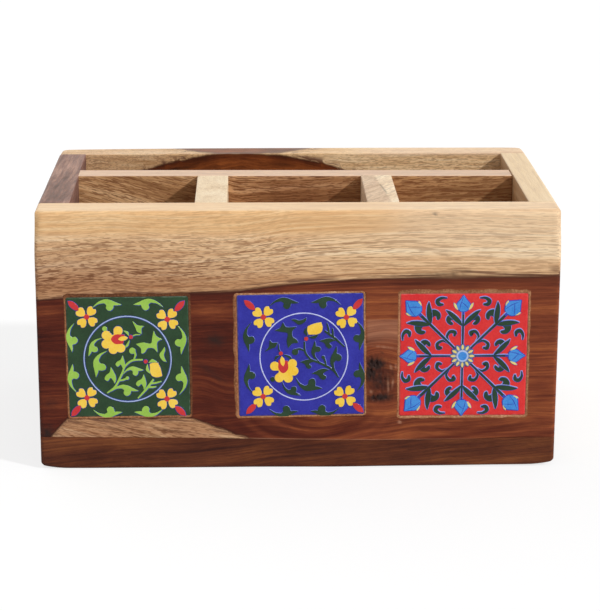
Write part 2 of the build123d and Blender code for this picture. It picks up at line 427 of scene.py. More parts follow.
# Sanded outside of the holder
FRONT_CORNER = 1.6
BACK_CORNER = 3.0
RIM_RADIUS = 1.4
FRONT_RIM_EXTRA = 0.9
BACK_RIM_EXTRA_AT_CORNERS = 0.6
FOOT_RADIUS = 1.4
FOOT_EXTRA_AT_CORNERS = 0.4
UNEVENNESS = 0.4
ROCKER_REACH = 11.5
ROCKER_RISE = 1.3
BASE_THINNING = 0.5
SIDE_LEAN = 0.6


def round_off(inward, over, radius):
    """Moves that round an edge: how far in, and how far back along the height."""
    side = radius - inward
    reach = math.hypot(side, over)
    if side <= 0 or over <= 0 or reach <= radius:
        return 0.0, 0.0
    return side * (1 - radius / reach), over * (1 - radius / reach)


def sand_outside(point):
    """Rounds the holder's upright corners, rim and foot, unevenly as hand sanding leaves them."""
    x, y, z = point
    corner = FRONT_CORNER if y < 0 else BACK_CORNER
    over = [abs(x) - HOLDER_HALF.x + corner, abs(y) - HOLDER_HALF.y + corner]
    lean = SIDE_LEAN * rise(z, 88, 107) * rise(over[0], -1.0, 0.5)
    if min(over) > 0:
        reach = math.hypot(*over)
        if reach > corner:
            over = [part * corner / reach for part in over]
        inward = corner - math.hypot(*over)
        outward = Vector(over).normalized()
    else:
        inward = corner - max(over)
        outward = Vector((1, 0)) if over[0] > over[1] else Vector((0, 1))
    near_corner = math.exp(min(0.0, min(over)) / 6)
    extra = FRONT_RIM_EXTRA * outward.y ** 2 if y < 0 else BACK_RIM_EXTRA_AT_CORNERS * near_corner
    wobble = UNEVENNESS * noise.noise(point * 0.03)
    rim = RIM_RADIUS + extra + wobble
    foot = FOOT_RADIUS + FOOT_EXTRA_AT_CORNERS * near_corner + wobble
    in_top, drop = round_off(inward, z - HOLDER_HIGH.z + rim, rim)
    in_foot, lift = round_off(inward, HOLDER_LOW.z + foot - z, foot)
    end = max(0.0, (abs(x) - HOLDER_HALF.x) / ROCKER_REACH + 1)
    rocker = ROCKER_RISE * end ** 2 + BASE_THINNING * rise(x, 10, HOLDER_HALF.x)
    rocker *= max(0.0, 1 - (z - HOLDER_LOW.z) / BASE_TOP)
    shift = in_top + in_foot + lean
    sanded_x = math.copysign(over[0] + HOLDER_HALF.x - corner - outward.x * shift, x)
    sanded_y = math.copysign(over[1] + HOLDER_HALF.y - corner - outward.y * shift, y)
    return Vector((sanded_x, sanded_y, z - drop + lift + rocker))


# Boards. A field gives the wood's values at a point, and a shape moves a point of the plank
Spot = namedtuple("Spot", "grain heart stain calm knot scar fresh", defaults=(0.0,) * 5)


def add_fields(piece, field, top_fresh_and_sheen):
    """Writes the wood's grain, marks and flaws at each point of a board."""
    layers = {"grain": [], "marks": [], "flaws": []}
    for vertex in piece.data.vertices:
        point = vertex.co / MM
        spot = field(point)
        # Top faces turn pale: partly fresh sanding, partly painted light where the light falls
        fresh_and_sheen_on_top = top_fresh_and_sheen * rise(vertex.normal.z, 0.75, 0.98) * rise(point.z, 90, 105)
        layers["grain"].extend(spot.grain)
        layers["marks"].extend((spot.heart, spot.stain, spot.calm))
        layers["flaws"].extend((spot.knot, spot.scar, max(fresh_and_sheen_on_top, spot.fresh)))
    for name, values in layers.items():
        set_field(piece, name, values)


def carve(piece, cutter):
    """Cuts the cutter's shape out of a piece."""
    change = piece.modifiers.new("countersinks", "BOOLEAN")
    change.object = cutter
    change.operation = "DIFFERENCE"
    change.solver = "EXACT"
    evaluated = piece.evaluated_get(bpy.context.evaluated_depsgraph_get())
    piece.data = bpy.data.meshes.new_from_object(evaluated)
    piece.modifiers.clear()
    bpy.data.objects.remove(cutter)


def as_sanded(point, sanded):
    return sanded


NO_CUTS = ((), (), ())


def make_board(node, slot, field, top_fresh_and_sheen, shape=as_sanded, extra=NO_CUTS, step=GRID_STEP, cutter=None):
    """A plank in its node's box, with eased edges and the holder's sanded outside."""
    low, high = box_mm(node)
    points, faces = block(*(cuts(low[i], high[i], extra[i], step) for i in range(3)))
    shaped = [shape(point, sand_outside(ease(point, low, high, EASED_EDGE))) for point in points]
    piece = make_mesh(node + "_sanded", shaped, faces, [woods[slot]])
    if cutter:
        carve(piece, cutter)
    add_fields(piece, field, top_fresh_and_sheen)
    dress(piece, slot, node)


# Tiles are placed by their nodes, and set just behind the front plank's face.
# Each has a turn in degrees, a small shift on the face, and a stretch of its width and height
TILE_FITS = {
    "green": (0.5, 0.5 + 0.35j, 0.98, 1.005),
    "blue": (0.9, 0.05 + 0.15j, 0.992, 0.997),
    "red": (0.1, -0.4 - 0.4j, 0.993, 0.994),
}
TILE_CORNER = 1.0
TILE_EDGE = 0.7
TILE_SETBACK = 0.12
POCKET_ROOM = 0.45


class Tile:
    """Place, size and turn of one tile, and the way from its face to the holder's frame."""

    def __init__(self, name):
        low, high = box_mm(f"{name}_tile")
        turn, shift, self.wide, self.tall = TILE_FITS[name]
        angle = math.radians(turn)
        straight = high.x - low.x - 2 * TILE_CORNER
        self.name = name
        self.centre = complex((low.x + high.x) / 2, (low.z + high.z) / 2) + shift
        self.size = straight / (math.cos(angle) + math.sin(angle)) + 2 * TILE_CORNER
        self.half = complex(self.wide, self.tall) * self.size / 2
        self.turn = cmath.exp(1j * angle)
        self.face = low.y + TILE_SETBACK
        self.back = high.y

    def place(self, spot, out):
        """Point in the frame of a spot on the face, raised by out."""
        turned = self.centre + self.turn * complex(spot.real * self.wide, spot.imag * self.tall)
        return Vector((turned.real, self.face - out, turned.imag))


TILES = [Tile(name) for name in TILE_FITS]
POCKET_FLOOR = max(box_mm(f"{tile.name}_tile_bed")[1].y for tile in TILES)

# Front plank: sapwood above a slanting line, and below it heartwood with a knot and a patch of sapwood
SAP_LINE = (
    (-105, 71.8), (-93, 72.6), (-80, 73.7), (-45, 74.1), (-27, 75.3), (-14, 76.8), (1, 78.6), (22, 80.0),
    (57, 80.4), (80, 80.6), (105, 80.5),
)
PATCH_TOP = 21.5
PATCH_LEFT = -101.8
PATCH_RIGHT = -20.6
PATCH_SLOPE = 0.26
CLIMB = 0.13
SWIRL = complex(8.0, 27.0)
SWIRL_STRETCH = 1.9

# Seam under the front plank: how far it lies above or below level
SEAM_LINE = ((-105, 1.3), (-72, 0.9), (-40, 0.5), (0, -0.4), (30, -0.85), (64, -0.7), (92, 0.0), (105, 0.0))

# Marks on the front, each with x, z, half width, half height, turn in degrees and amount.
# First the dark spots of the knot beside the blue tile, then pale splinters in it and a chip below it
KNOT = (33.4, 38.0)
KNOT_SPOTS = (
    (31, 44.2, 4.2, 2.8, -6, 1.25),
    (29.3, 40.5, 2.6, 4.2, 0, 1.1),
    (33.2, 30, 5.4, 1.6, 4, 1.15),
    (33, 37.5, 5, 7, 0, 0.68),
    (38, 40.5, 1, 2.6, 0, 0.45),
    (33.7, 49.1, 1, 0.4, -30, 0.6),
)
SPLINTERS = (
    (36.4, 35, 0.35, 2.9, 2, 0.85),
    (38.2, 35.8, 0.4, 1.7, -8, 0.7),
    (37.5, 42.8, 0.5, 0.9, 15, 0.6),
    (39.4, 43.2, 0.4, 0.8, 0, 0.6),
    (29.5, 32.4, 0.5, 0.7, 0, 0.7),
    (34.6, 51.4, 5.5, 0.5, -7, 0.4),
    (41.2, 19.5, 0.7, 0.45, 0, 1.2),
)
# Changes of stain
FRONT_STAINS = (
    (-36, 66.5, 9, 2.2, 4, -0.6),
    (-100, 66.1, 5, 2, 0, -0.45),
    (-99, 27, 5, 5, 0, -0.12),
    (103.2, 83.6, 2.6, 1.8, 0, 0.7),
    (33.2, 37.5, 6.5, 8, 0, 0.75),
    (35, 50.5, 7, 3, 0, -0.5),
    (35.5, 26.4, 7, 2, 0, -0.5),
    (15, 17, 34, 5, 0, 0.3),
    (100.5, 31, 6, 4, 0, 0.35),
    (70, 17, 12, 1.6, 3, 0.4),
)
# Dark marks at corners, above the sapwood's line, on the rim, and streaks in the sapwood patch
DARK_MARKS = (
    (-102.3, 15.6, 3.4, 3.2, 0, 0.8),
    (-100, 28.2, 3, 2.5, 0, 0.3),
    (-33.5, 54.6, 3.8, 2.8, 0, 0.72),
    (-35, 41, 9, 1.7, -38, 0.35),
    (56, 81.4, 15, 1.2, 1, 0.5),
    (66, 82.8, 6, 1.6, -8, 0.42),
    (88, 81.2, 10, 1, -2, 0.3),
    (102.8, 83.4, 2.4, 1.8, 0, 0.4),
    (54, 106.4, 1, 0.5, -20, 0.8),
    (-76, 17.6, 8, 0.7, -14, 0.32),
    (-52, 16.2, 10, 0.8, -14, 0.32),
    (-64, 14.4, 7, 0.6, -14, 0.28),
)


def patch_edge(x):
    """Top of the sapwood patch in the front plank's lower left."""
    climb = BASE_TOP + (x - PATCH_LEFT) * 1.1
    fall = BASE_TOP + (PATCH_RIGHT - x) * 0.4
    return min(PATCH_TOP, climb, fall) + 0.9 * noise_at(x * 0.16, 3.0, 9.0)


def swirl_rings(x, z):
    """Growth rings that bend under the blue tile: their height, and their share of the figure here."""
    rings = SWIRL.imag - math.hypot((x - SWIRL.real) / SWIRL_STRETCH, z - SWIRL.imag)
    return rings, min(1.0, 1.3 * hill(x, z, 9, 15, 33, 10))


def front_stain_and_shade(x, z, heart, patch):
    """Share of dark stain: the left heartwood, and the left and lower sapwood, partly painted shade."""
    if heart > 0:
        rings, share = swirl_rings(x, z)
        stain = 0.1 + 0.85 * rise(-x, -30, 30) - 1.3 * share * noise_at(x * 0.03, rings * 0.42, 6.0)
        streak = noise_at(x * 0.02, (z - CLIMB * x) * 0.5, 11.0)
        stain += rise(x, 30, 50) * rise(30 - z, 0, 10) * (0.12 + 0.95 * streak)
    elif patch < 0:
        stain = 1.25 + 1.4 * noise_at(x * 0.06, (z + PATCH_SLOPE * x) * 0.6, 2.0)
    else:
        # The sapwood darkens towards the left and bottom: partly stain, partly painted shade
        stain = rise(98 - z, -4, 22) * (0.06 + 0.97 * rise(-x, -60, 105))
    for *place, amount in FRONT_STAINS:
        stain += amount * hill(x, z, *place)
    return limit(stain)


def front_field(point):
    x, y, z = point
    line = line_at(x, SAP_LINE)
    patch = z - patch_edge(x)
    below = (line - z + 0.25 * (y - FRONT_Y)) * (1 - 0.45 * rise(x, 30, 60))
    heart = min(below, patch)

    # The grain bends with the swirl, round the knot and a spot at the left, and climbs at the lower right
    rings, share = swirl_rings(x, z)
    across = z + (rings - z) * share
    across += 0.55 * (KNOT[1] - z) * hill(x, z, *KNOT, 9, 15) - 0.7 * (line - 78)
    across += 0.5 * (x + 34) * hill(x, z, -34, 35, 12, 13)
    across -= CLIMB * (min(x, 95) - 35) * rise(x, 30, 50) * rise(30 - z, 0, 8)
    if patch < 0:
        across += PATCH_SLOPE * x
    along = x - 0.4 * max(x, 0) * rise(z, 66, 82)

    # Flaws lie on the face: dark spots, then splinters, bare wood over the knot and a worn seam
    on_face = 1.0 if y < FRONT_Y + 3 else 0.0
    grit = noise_at(x * 0.8, z * 0.35, 3.0) + 0.6 * noise_at(x * 2, z, 8.0)
    dark = max(strongest(x, z, KNOT_SPOTS), strongest(x, z, DARK_MARKS))
    knot = on_face * limit(dark * (1.2 + 0.7 * grit) - 0.05)
    splinter = strongest(x, z, SPLINTERS) * (1 + 0.8 * grit)
    bare = 0.38 * rise(z, 51, 57) * rise(-z, -63.4, -62.4) * rise(8 - abs(x - 34.5), 0, 2)
    seam_top = BASE_TOP + line_at(x, SEAM_LINE)
    seam = 0.6 * rise(x, -24, -16) * rise(-x, -80, -55) * rise(seam_top + 0.5 - z, 0, 0.3)
    scar = on_face * max(0.0, splinter, bare, seam)

    golden = rise(z, 92.5, 101.5) * (1 - rise(x, 25, 70))
    calm = max(golden, 0.52 * rise(x, -60, 60))
    stain = front_stain_and_shade(x, z, heart, patch)
    # The face is paler towards its upper right: partly the wood's own colour, partly painted light
    fresh = 0.26 * rise(x, 5, 65) * rise(z, 82, 100)
    return Spot((along, across, y), heart, stain, calm, knot, scar, fresh)


def base_shape(point, sanded):
    """Bends the seam near the front face."""
    near = rise(FRONT_Y + 13 - point.y, 0, 10) * rise(4 - abs(point.z - BASE_TOP), 0, 4)
    return sanded + Vector((0, 0, near * line_at(point.x, SEAM_LINE)))


def front_shape(point, sanded):
    """Bends the seam, pushes the tile pockets back and sinks the knot's cracks."""
    bent = base_shape(point, sanded)
    if point.y > FRONT_Y + 0.001:
        return bent
    for tile in TILES:
        beyond_x = abs(point.x - tile.centre.real) - tile.half.real
        beyond_z = abs(point.z - tile.centre.imag) - tile.half.imag
        if max(beyond_x, beyond_z) < POCKET_ROOM:
            return Vector((bent.x, POCKET_FLOOR, bent.z))
    crack = noise_at(point.x * 0.9, 7.0, point.z * 0.6)
    pit = strongest(point.x, point.z, KNOT_SPOTS)
    return bent + Vector((0, 1.2 * pit * max(0.0, crack + 0.05), 0))


def pocket_cuts(way):
    """Two close grid lines at each side of every pocket, upright if way is real, level if it is imag."""
    lines = []
    for tile in TILES:
        middle = getattr(tile.centre, way)
        half = getattr(tile.half, way) + POCKET_ROOM
        for side in (-1, 1):
            lines += [middle + side * (half - 0.02), middle + side * (half + 0.02)]
    return lines


def spaced(start, step, first, last):
    return [start + step * i for i in range(first, last)]


FRONT_STEP = 1.3
FRONT_CUTS = (
    pocket_cuts("real") + spaced(KNOT[0], 0.4, -17, 21),
    (),
    pocket_cuts("imag") + spaced(KNOT[1], 0.55, -20, 50) + spaced(BASE_TOP, 0.6, 1, 25),
)


# The other planks. Each takes its grain from a place of its own along the wood
def back_field(point):
    x, y, z = point
    arch = z + 0.0038 * (x + 22) ** 2
    heart = 108.3 - arch + 0.25 * (y - BACK_INNER_Y)
    # Painted shade: the sapwood of the rear slot's inside face is darker, more towards the left
    inside = rise(BACK_INNER_Y + 1 - y, 0, 1)
    top = rise(z, 106.5, 107.8)
    leftward = rise(-x, -20, 60)
    if heart < 0:
        stain = max(inside * (0.05 + 0.45 * leftward), 0.3 * top * leftward)
    else:
        stain = 0.75 * rise(5 - heart, 0, 4) * (1 - 0.6 * top)
    across = z + (arch - z) * rise(heart, -0.8, 0.4)
    along = 2.6 * min(x, 10) + 1.5 * max(x - 10, 0) + 300
    # The top is paler towards the right: fresh sanding and painted light
    fresh = 0.45 * top * rise(x, 10, 50)
    return Spot((along, across, y + 90), heart, stain, 0.35 + 0.15 * top, fresh=fresh)


def back_shape(point, sanded):
    """The back plank's rim falls a little towards its left end."""
    if point.z > 100 and point.x < 0:
        return sanded - Vector((0, 0, 0.5 * (point.x / HOLDER_HIGH.x) ** 2))
    return sanded


def base_field(point):
    x, y, z = point
    cloud = noise_at(x * 0.03 - z * 0.08, z * 0.12, 5.0)
    stain = 0.4 + 0.6 * cloud - 0.3 * hill(x, z, 88, 4, 14, 4)
    return Spot((x + 700, z * 0.9 - 0.09 * x + 40, y), 30.0, limit(stain))


def left_field(point):
    x, y, z = point
    # Painted shade: the inner face is darker
    inside = rise(x, -SIDE_INNER_X - 1, -SIDE_INNER_X)
    return Spot((y + 1100, z + 0.5 * x - 0.1 * y, x), 30.0, 0.35 * inside)


def left_shape(point, sanded):
    """The left side is a little thicker towards its front."""
    inner = rise(point.x, -SIDE_INNER_X - 2, -SIDE_INNER_X)
    return sanded + Vector((inner * (0.5 + 0.8 * rise(-point.y, -50, 50)), 0, 0))


def right_field(point):
    x, y, z = point
    # Painted shade: the inner face is darker
    inside = rise(SIDE_INNER_X + 1 - x, 0, 1)
    return Spot((y + 1500, z + 0.3 * x + 0.05 * y, x), 26 - z + 0.25 * y, 0.8 * inside)


def long_field(point):
    x, y, z = point
    # Painted shade: the face towards the front wells is darker, most round its middle
    front = rise(LONG_FRONT_Y + 1 - y, 0, 1)
    across = z - 0.03 * x + 0.28 * min(x + 25, 0) * front
    stain = 0.1 + (0.06 + 0.8 * hill(x, z, 0, 95, 38, 40)) * front
    return Spot((x + 1900, across, y), -30.0, stain)


def long_shape(point, sanded):
    """The long divider stands a hair lower towards its right end."""
    if point.z > 100:
        return sanded - Vector((0, 0, 0.15 + 0.35 * rise(point.x, -90, 90)))
    return sanded


def left_cross_field(point):
    x, y, z = point
    return Spot((z + 2300, x, y), -30.0, 0.0, 0.5)


# The right cross divider's top: a darker half along a slant, and a crack
CRACK_X = 36.0
CRACK_Y = -24.0
CRACK_REACH = 10.0
CRACK_STEP = 1.0
CRACK_CUTS = (spaced(CRACK_X, 0.3, -8, 9), (), ())


def right_cross_field(point):
    x, y, z = point
    slant = x - 35.7 + 0.083 * (y + 23)
    off = x - CRACK_X + 0.105 * (y - CRACK_Y)
    crack = math.exp(-(off / 0.35) ** 2) * rise(CRACK_REACH - abs(y - CRACK_Y), 0, 3)
    grain = (0.8 * y + 0.6 * x + 2700, 0.8 * x - 0.6 * y, z)
    return Spot(grain, -30.0, 0.5 * rise(-slant, -0.6, 0.4), 0.3, 0.6 * crack)


def screw_sinks():
    """Cones that cut the base plank for the heads of its screws."""
    points = []
    faces = []
    for node in ("front_board_screws", "back_board_screws", "long_divider_screws"):
        for low, high in solids(node):
            centre = complex((low.x + high.x) / 2, (low.y + high.y) / 2)
            radius = (high.x - low.x) / 2
            rings = []
            for height, reach in ((-1.0, radius + 1.05), (radius, 0.05)):
                rings.append([(spot.real, spot.imag, low.z + height) for spot in disc(centre, reach, 32)])
            faces += skin(points, rings)
    return make_mesh("countersinks", points, faces, [])


# The number after each field is the share of fresh sanding and painted light on the plank's top faces
make_board("front_board", "front_wood", front_field, 0.45, front_shape, FRONT_CUTS, FRONT_STEP)
make_board("back_board", "back_wood", back_field, 0.12, back_shape)
make_board("left_side_board", "left_side_wood", left_field, 0.05, left_shape)
make_board("right_side_board", "right_side_wood", right_field, 0.4)
make_board("long_divider", "long_divider_wood", long_field, 0.65, long_shape)
make_board("left_cross_divider", "left_cross_wood", left_cross_field, 0.1)
make_board("right_cross_divider", "right_cross_wood", right_cross_field, 0.1,
           extra=CRACK_CUTS, step=CRACK_STEP)
make_board("base_board", "base_wood", base_field, 0.0, base_shape, cutter=screw_sinks())

# Brad fillings are low domes: share of the head's radius, and height. Then brads, screws and tile beds
DOME = ((1.0, -0.3), (0.98, 0.0), (0.7, 0.03), (0.35, 0.045))


def make_stoppings(node, slot, field, out):
    """Filler over sunk brads, which takes its colour from the plank's own grain."""
    out = Vector(out)
    up = Vector((0, 0, 1))
    side = up.cross(out)
    points = []
    faces = []
    for low, high in solids(node):
        reach = (high - low) / 2
        centre = (low + high) / 2 + out * abs(reach.dot(out))
        rings = []
        for share, height in DOME:
            circle = disc(0, share * reach.z)
            rings.append([centre + side * spot.real + up * spot.imag + out * height for spot in circle])
        faces += skin(points, rings)
    piece = make_mesh(node + "_dressed", points, faces, [woods[slot]])
    add_fields(piece, field, 0.0)
    dress(piece, "brad_stopping", node)


make_stoppings("front_brad_stoppings", "front_wood", front_field, (0, -1, 0))
make_stoppings("back_brad_stoppings", "back_wood", back_field, (0, 1, 0))
make_stoppings("left_side_brad_stoppings", "left_side_wood", left_field, (-1, 0, 0))
make_stoppings("right_side_brad_stoppings", "right_side_wood", right_field, (1, 0, 0))
make_stoppings("long_divider_brad_stoppings", "long_divider_wood", long_field, (0, 1, 0))


def cloudy(name, factors, deep, light, bump, rough, metallic):
    """A finish with fine clouds of tone, on a slightly uneven surface.
    rough is one roughness, or a pair that the clouds run between."""
    g = Graph(bpy.data.materials.new(name))
    cloud = g.noise(g.millimetres(), factors, 3.0)
    g.bump(cloud, *bump)
    if isinstance(rough, tuple):
        rough = g.span(cloud, 0.3, 0.7, *rough)
    colour = g.ramp(cloud, (0.35, deep), (0.65, light))
    return g.finish(base_color=colour, metallic=metallic, roughness=rough)


def finish_nodes(ending, material):
    """Gives the kept CAD nodes whose names end so their finish."""
    for name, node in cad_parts.items():
        if name.endswith(ending):
            for place in node.material_slots:
                place.material = material


SCUFFS = (1.6, 1.6, 0.5)
GRIT = (0.9, 0.9, 0.9)
wire = cloudy("drawn_wire", SCUFFS, (150, 150, 152), (196, 196, 198), (0.02, 0.5), (0.28, 0.43), 1.0)
zinc = cloudy("zinc_plate", SCUFFS, (176, 156, 96), (214, 196, 140), (0.02, 0.5), (0.32, 0.47), 1.0)
adhesive = cloudy("cured_adhesive", GRIT, (206, 200, 184), (226, 222, 210), (0.2, 0.6), 0.85, 0.0)
finish_nodes("_brads", wire)
finish_nodes("_screws", zinc)
finish_nodes("_bed", adhesive)

# Painted tiles: deep and light screen colour of each glaze
GLAZES = {
    "green_ground": ((30, 58, 32), (40, 72, 42)),
    "blue_ground": ((38, 38, 152), (50, 52, 170)),
    "red_ground": ((216, 38, 42), (232, 56, 54)),
    "leaf_green": ((148, 194, 72), (168, 208, 92)),
    "dark_leaf": ((26, 54, 34), (38, 68, 44)),
    "yellow": ((250, 200, 52), (255, 218, 92)),
    "red": ((200, 44, 48), (216, 58, 58)),
    "cobalt": ((44, 58, 140), (62, 78, 168)),
    "lavender": ((96, 108, 196), (126, 138, 216)),
    "pale_blue": ((166, 186, 228), (192, 208, 241)),
    "pale_violet": ((186, 192, 244), (212, 216, 252)),
    "sky": ((52, 130, 214), (80, 156, 232)),
    "royal": ((40, 56, 168), (58, 78, 196)),
    "mist": ((134, 148, 212), (160, 172, 228)),
    "slate": ((84, 104, 150), (108, 128, 174)),
    "cream": ((232, 208, 110), (242, 222, 140)),
}


def glaze(name):
    """Hand-brushed glossy glaze, cloudy in tone. A tile's ground is thin and pale along its edge."""
    deep, light = GLAZES[name]
    g = Graph(bpy.data.materials.new(name + "_glaze"))
    place = g.millimetres()
    broad = g.noise(place, (0.16, 0.16, 0.16), 3.0)
    fine = g.noise(place, (1.4, 1.4, 1.4))
    colour = g.ramp(g.blend((broad, 0.6), (fine, 0.4)), (0.36, deep), (0.64, light))
    if name.endswith("_ground"):
        from_edge = g.split(g.attribute("rim"))[0]
        ragged = g.math("ADD", from_edge, g.swing(g.noise(place, (0.5, 0.5, 0.5), 3.0), 0.9))
        pale = tuple(round(0.55 * level + 95) for level in light)
        colour = g.mix(g.span(ragged, 0.1, 0.6, 0.75, 0.0), colour, tone(pale))
    g.bump(g.noise(place, (0.3, 0.3, 0.3)), 0.05, 0.5)
    return g.finish(base_color=colour, roughness=0.2, specular_ior_level=0.25)


glazes = {name: glaze(name) for name in GLAZES}
glaze_order = {name: index for index, name in enumerate(GLAZES)}


def make_tile(tile):
    """The fired tile: a square slab with soft edges and a slightly uneven face."""
    half = tile.size / 2
    low = Vector((-half, tile.face, -half))
    high = Vector((half, tile.back, half))
    points, faces = block(*(cuts(low[i], high[i]) for i in range(3)))
    shaped = []
    rims = []
    for point in points:
        eased = ease(point, low, high, TILE_EDGE)
        wave = 0.06 * noise_at(point.x * 0.06, tile.centre.real, point.z * 0.06)
        sunk = max(0.0, wave) if point.y == low.y else 0.0
        shaped.append(tile.place(complex(eased.x, eased.z), tile.face - eased.y - sunk))
        rims += [half - max(abs(eased.x), abs(eased.z)), 0.0, 0.0]
    piece = make_mesh(f"{tile.name}_tile_fired", shaped, faces, [glazes[f"{tile.name}_ground"]])
    set_field(piece, "rim", rims)
    dress(piece, f"{tile.name}_glaze", f"{tile.name}_tile")


# Outlines of painted shapes are loops of complex numbers, right and up on the tile's face
def curve(spots, closed=True, sharp=(), steps=6):
    """A smooth curve through spots, with corners at those whose index is sharp."""
    count = len(spots)
    made = []
    for i in range(count if closed else count - 1):
        here, there = spots[i], spots[(i + 1) % count]
        leave = there - here if i in sharp else (there - spots[i - 1]) / 2
        arrive = there - here if (i + 1) % count in sharp else (spots[(i + 2) % count] - here) / 2
        for k in range(steps):
            t = k / steps
            bend = t * (1 - t) * (leave * (1 - t) - arrive * t)
            made.append(here + (there - here) * rise(t, 0, 1) + bend)
    return made if closed else made + [spots[-1]]


def grow(loop, distance):
    """The loop moved outwards by a small distance."""
    moved = []
    for i, spot in enumerate(loop):
        ahead = loop[(i + 1) % len(loop)] - loop[i - 1]
        moved.append(spot - 1j * distance * ahead / max(abs(ahead), 1e-6))
    return moved


def turned_left(loop):
    """The loop, counter-clockwise."""
    area = sum((a.conjugate() * b).imag for a, b in zip(loop, loop[1:] + loop[:1]))
    return loop if area > 0 else loop[::-1]


def fit(unit, start, end, side=1):
    """Unit spots laid with 0 on start and 1 on end. side scales them sideways, and -1 mirrors them."""
    return [start + (end - start) * complex(spot.real, spot.imag * side) for spot in unit]


def mirrored(half):
    """A loop from its lower half, which starts and ends on the axis."""
    return [*half, *(spot.conjugate() for spot in half[-2:0:-1])]


# Outlines of unit length: a curling leaf on a thin stem, a short leaf with a round lobe, half a petal
LEAF = (0, 0.19 + 0.147j, 0.33 + 0.21j, 0.49 + 0.237j, 0.65 + 0.195j, 0.79 + 0.117j, 1, 0.83,
        0.745 + 0.01j, 0.705 - 0.085j, 0.63 - 0.15j, 0.54 - 0.145j, 0.475 - 0.06j, 0.5 + 0.04j,
        0.43 + 0.115j, 0.33 + 0.12j, 0.2 + 0.1j)
SMALL_LEAF = (0, 0.25 + 0.13j, 0.55 + 0.13j, 1, 0.84 - 0.06j, 0.68 - 0.16j, 0.56 - 0.39j, 0.38 - 0.5j,
              0.23 - 0.36j, 0.38 - 0.175j, 0.22 - 0.05j)
HEART_PETAL = (0, 0.3 - 0.33j, 0.72 - 0.49j, 1.0 - 0.27j, 0.86)


def leaf(start, tip, side=1, fat=1.0):
    return curve(fit(LEAF, start, tip, side * fat), sharp=(0, 6), steps=4)


def small_leaf(start, tip, side):
    return curve(fit(SMALL_LEAF, start, tip, side), sharp=(0, 3), steps=4)


def heart_petal(base, end):
    return curve(fit(mirrored(HEART_PETAL), base, end), sharp=(0, 4))


def spindle(start, end, width):
    """A drop with two pointed ends."""
    slim = width / abs(end - start) / 2
    half = (0, complex(0.3, -slim), complex(0.7, -slim), 1)
    return curve(fit(mirrored(half), start, end), sharp=(0, 3))


def crescent(start, end, belly):
    """A shape with two pointed ends, that bulges to one side by belly."""
    deep = belly / abs(end - start)
    unit = (0, complex(0.3, 0.75 * deep), complex(0.6, deep), 1, complex(0.55, 0.1 * deep))
    return curve(fit(unit, start, end), sharp=(0, 3))


def stroke(spots, widths):
    """A brush stroke through spots, whose width runs through widths."""
    line = curve(spots, closed=False, sharp=(0, len(spots) - 1), steps=5)
    right = []
    left = []
    for i, spot in enumerate(line):
        ahead = line[min(i + 1, len(line) - 1)] - line[max(i - 1, 0)]
        place = i / (len(line) - 1) * (len(widths) - 1)
        k = min(int(place), len(widths) - 2)
        width = widths[k] + (widths[k + 1] - widths[k]) * (place - k)
        side = 0.5j * width * ahead / abs(ahead)
        right.append(spot - side)
        left.append(spot + side)
    return right + left[::-1]


def lobed(centre, core, lobes, reach, radius, count=90):
    """A flower of round lobes, at angles in degrees, round a core."""
    loop = []
    for i in range(count):
        angle = math.tau * i / count
        length = core
        for lobe in lobes:
            off = angle - math.radians(lobe)
            inside = radius ** 2 - (reach * math.sin(off)) ** 2
            if inside > 0 and math.cos(off) > 0:
                length = max(length, reach * math.cos(off) + math.sqrt(inside))
        loop.append(centre + cmath.rect(length, angle))
    return loop


# Outlines: colour, width, and how far the brush drifted
Line = namedtuple("Line", "colour width drift")
COBALT_LINE = Line("cobalt", 0.19, 0)
GREEN_TILE_LINE = Line("cobalt", 0.12, 0.15 - 0.12j)
BLUE_TILE_LINE = Line("lavender", 0.04, 0.11 + 0.12j)
SEPAL_LINE = Line("royal", 0.14, 0)
BUD_LINE = Line("royal", 0.32, 0)

# Each shape stands a step higher than the one before, so that no two tops lie in one plane
LAYER_STEP = 0.0007
RELIEF = 0.6
SUNK = 0.15
SOFT_EDGE = 0.08


class Painting:
    """Raised glaze shapes of one tile, gathered into one mesh. tall stretches them upwards."""

    def __init__(self, tile, tall=1.0):
        self.tile = tile
        self.tall = tall
        self.points = []
        self.faces = []
        self.shades = []
        self.layers = 0
        self.turn = 1
        self.shift = 0

    def place(self, spot, out):
        laid = self.shift + self.turn * spot
        return self.tile.place(complex(laid.real, laid.imag * self.tall), out * RELIEF)

    def cover(self, sections, colour, looped=False):
        """Skin over loops, each with its height."""
        rings = [[self.place(spot, out) for spot in loop] for loop, out in sections]
        made = skin(self.points, rings, looped)
        self.faces += made
        self.shades += [glaze_order[colour]] * len(made)

    def add(self, loop, colour, height):
        """A closed solid with a softened upper edge."""
        self.layers += 1
        height += LAYER_STEP * self.layers
        loop = turned_left(loop)
        wide = grow(loop, SOFT_EDGE)
        self.cover(((wide, -SUNK), (wide, height * 0.6), (loop, height)), colour)

    def shadow(self, loop, colour, height, width, drift):
        """A slightly larger solid, shifted by drift on the tile."""
        self.add([spot + drift / self.turn for spot in grow(turned_left(loop), width)], colour, height)

    def outlined(self, loop, colour, height, line=COBALT_LINE):
        """A solid on a slightly larger one that shows as its outline."""
        self.shadow(loop, line.colour, height * 0.5, line.width, line.drift)
        self.add(loop, colour, height)

    def hoop(self, centre, radius, width, colour, height):
        """A round line: a closed ring of square section with a softened top."""
        edge = 0.6 * height
        profile = ((-0.5, -SUNK), (0.5, -SUNK), (0.5, edge), (0.3, height), (-0.3, height), (-0.5, edge))
        sections = [(disc(centre, radius + share * width, 120), out) for share, out in profile]
        self.cover(sections, colour, looped=True)

    def finish(self):
        name = self.tile.name
        piece = make_mesh(f"{name}_tile_painting", self.points, self.faces, glazes.values(), self.shades, 75)
        for polygon in piece.data.polygons:
            polygon.use_smooth = len(polygon.vertices) == 4
        dress(piece, f"{name}_glaze")


